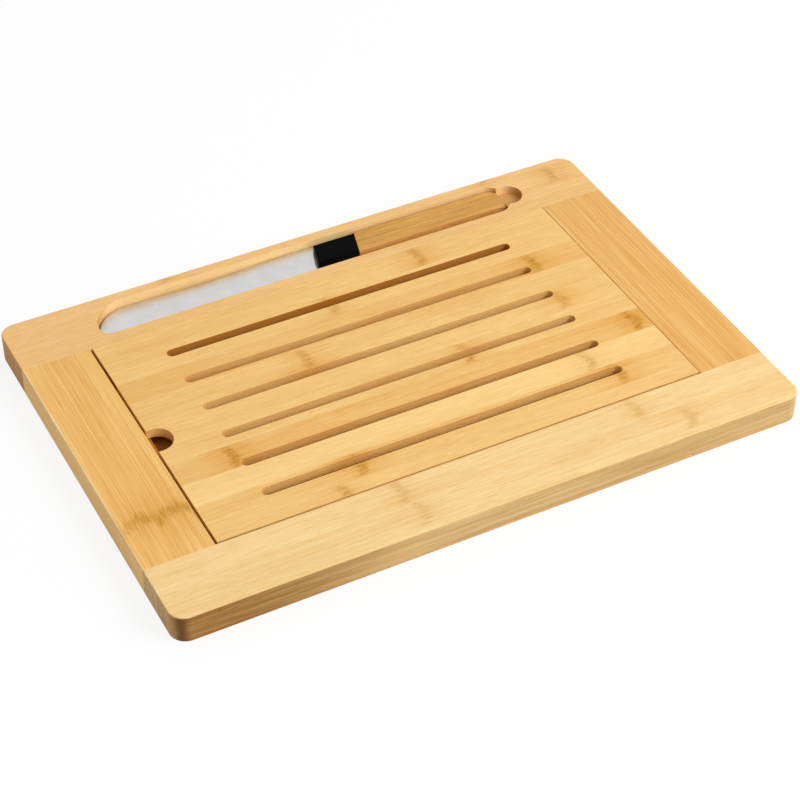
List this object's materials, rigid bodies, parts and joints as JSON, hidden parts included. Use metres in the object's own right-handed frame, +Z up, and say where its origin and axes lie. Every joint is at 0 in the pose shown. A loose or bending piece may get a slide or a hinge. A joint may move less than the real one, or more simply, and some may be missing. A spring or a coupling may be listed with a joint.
{
  "type": "bread board",
  "caption": "Framed bamboo bread board with a slotted grid that lifts off a crumb tray, and a bread knife lying in a pocket along its back rail.",
  "frame": {"origin": "the middle of the board's underside, on the surface that it stands on", "axes": "+X along the board's length, from the knife's tip to its handle; +Y from the plain front rail to the rail with the knife; +Z up"},
  "size_m": [0.4, 0.275, 0.018],
  "materials": {
    "rail_bamboo": "oiled, fine lengthwise grain",
    "stile_bamboo": "oiled, darker, coarser grain along Y",
    "floor_bamboo": "oiled",
    "grid_bamboo": "oiled, fine lengthwise grain",
    "handle_bamboo": "oiled, smooth",
    "dowel_wood": "raw",
    "blade_steel": "satin",
    "ferrule_plastic": "smooth black"
  },
  "bodies": {
    "board": {"front_rail": "rail_bamboo", "back_rail": "rail_bamboo", "left_stile": "stile_bamboo", "right_stile": "stile_bamboo", "tray_floor": "floor_bamboo", "dowel_front_left_inner": "dowel_wood", "dowel_front_left_outer": "dowel_wood", "dowel_back_left_inner": "dowel_wood", "dowel_back_left_outer": "dowel_wood", "dowel_front_right_inner": "dowel_wood", "dowel_front_right_outer": "dowel_wood", "dowel_back_right_inner": "dowel_wood", "dowel_back_right_outer": "dowel_wood"},
    "grid": {"slotted_grid": "grid_bamboo"},
    "knife": {"knife_blade": "blade_steel", "knife_ferrule": "ferrule_plastic", "knife_handle": "handle_bamboo"}
  },
  "joints": [
    {"name": "grid_lift", "type": "slide", "parent": "board", "child": "grid", "axis": [0, 0, 1], "range_m": [0, 0.03]},
    {"name": "knife_lift", "type": "slide", "parent": "board", "child": "knife", "axis": [0, 0, 1], "range_m": [0, 0.04]}
  ]
}
